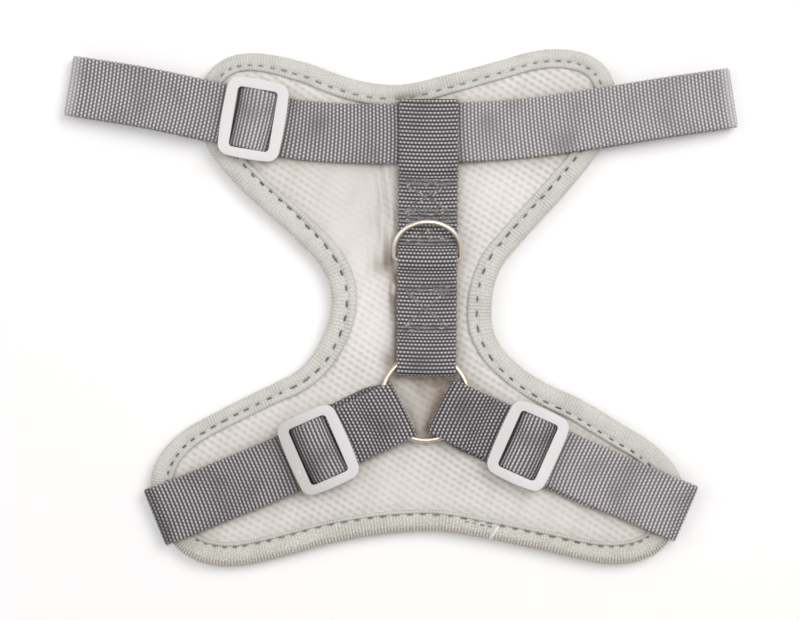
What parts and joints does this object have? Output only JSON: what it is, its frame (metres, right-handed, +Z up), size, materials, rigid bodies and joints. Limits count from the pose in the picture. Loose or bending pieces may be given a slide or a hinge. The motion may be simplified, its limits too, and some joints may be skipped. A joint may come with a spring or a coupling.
{
  "type": "no pull harness",
  "caption": "Padded waisted dog chest panel bound in tape, with webbing neck, back and girth straps, a leash ring, a joining ring and moulded strap slides.",
  "frame": {"origin": "middle of the flat harness's bounding box, on the surface it lies on", "axes": "+X along the neck strap, +Y towards the dog's neck, +Z up out of the flat harness, from the panel to the back piece"},
  "size_m": [0.2256, 0.1726, 0.0129],
  "materials": {
    "webbing": "ribbed mid-grey woven webbing",
    "lining_mesh": "matt warm off-white dimpled mesh",
    "outer_mesh": "matt off-white knitted mesh",
    "foam": "soft open-cell padding",
    "binding_tape": "fine-ribbed pale grey-green tape",
    "thread": "grey-green sewing thread",
    "nickel": "polished nickel plate",
    "slide_plastic": "satin white moulding"
  },
  "bodies": {
    "chest_panel": {"foam_core": "foam", "outer_mesh_face": "outer_mesh", "inner_mesh_face": "lining_mesh", "edge_binding": "binding_tape", "binding_stitch_inner": "thread", "binding_stitch_outer": "thread", "neck_band": "webbing", "left_girth_anchor": "webbing", "right_girth_anchor": "webbing", "neck_strap_left": "webbing", "neck_strap_right": "webbing", "left_girth_run": "webbing", "right_girth_run": "webbing"},
    "back_web": {"neck_strap_middle": "webbing", "back_strap": "webbing", "back_stitch_upper": "thread", "back_stitch_lower": "thread", "left_girth_loop": "webbing", "right_girth_loop": "webbing"},
    "leash_ring": {"d_ring": "nickel"},
    "joining_ring": {"o_ring": "nickel"},
    "neck_adjuster": {"neck_slide": "slide_plastic", "neck_web_over_bar": "webbing"},
    "left_girth_adjuster": {"left_girth_slide": "slide_plastic", "left_girth_web_over_bar": "webbing"},
    "right_girth_adjuster": {"right_girth_slide": "slide_plastic", "right_girth_web_over_bar": "webbing"}
  },
  "joints": [
    {"name": "back_lift", "type": "slide", "parent": "chest_panel", "child": "back_web", "axis": [0, 0, 1], "range_m": [0, 0.018], "deforming": ["neck_strap_left", "neck_strap_right", "left_girth_run", "right_girth_run"]},
    {"name": "leash_ring_swing", "type": "hinge", "parent": "back_web", "child": "leash_ring", "pos_m": [0.00884, 0.01593, 0.00875], "axis": [1, -0.0097, 0], "range_deg": [0, 150]},
    {"name": "joining_ring_turn", "type": "hinge", "parent": "back_web", "child": "joining_ring", "pos_m": [0.00817, -0.02977, 0.0089], "axis": [0, 0, 1], "continuous": true},
    {"name": "neck_adjust", "type": "slide", "parent": "back_web", "child": "neck_adjuster", "axis": [0.9774, -0.2115, 0], "range_m": [-0.012, 0.012]},
    {"name": "left_girth_adjust", "type": "slide", "parent": "back_web", "child": "left_girth_adjuster", "axis": [-0.907, -0.4212, 0], "range_m": [-0.007, 0.008]},
    {"name": "right_girth_adjust", "type": "slide", "parent": "back_web", "child": "right_girth_adjuster", "axis": [0.913, -0.408, 0], "range_m": [-0.005, 0.01]}
  ]
}
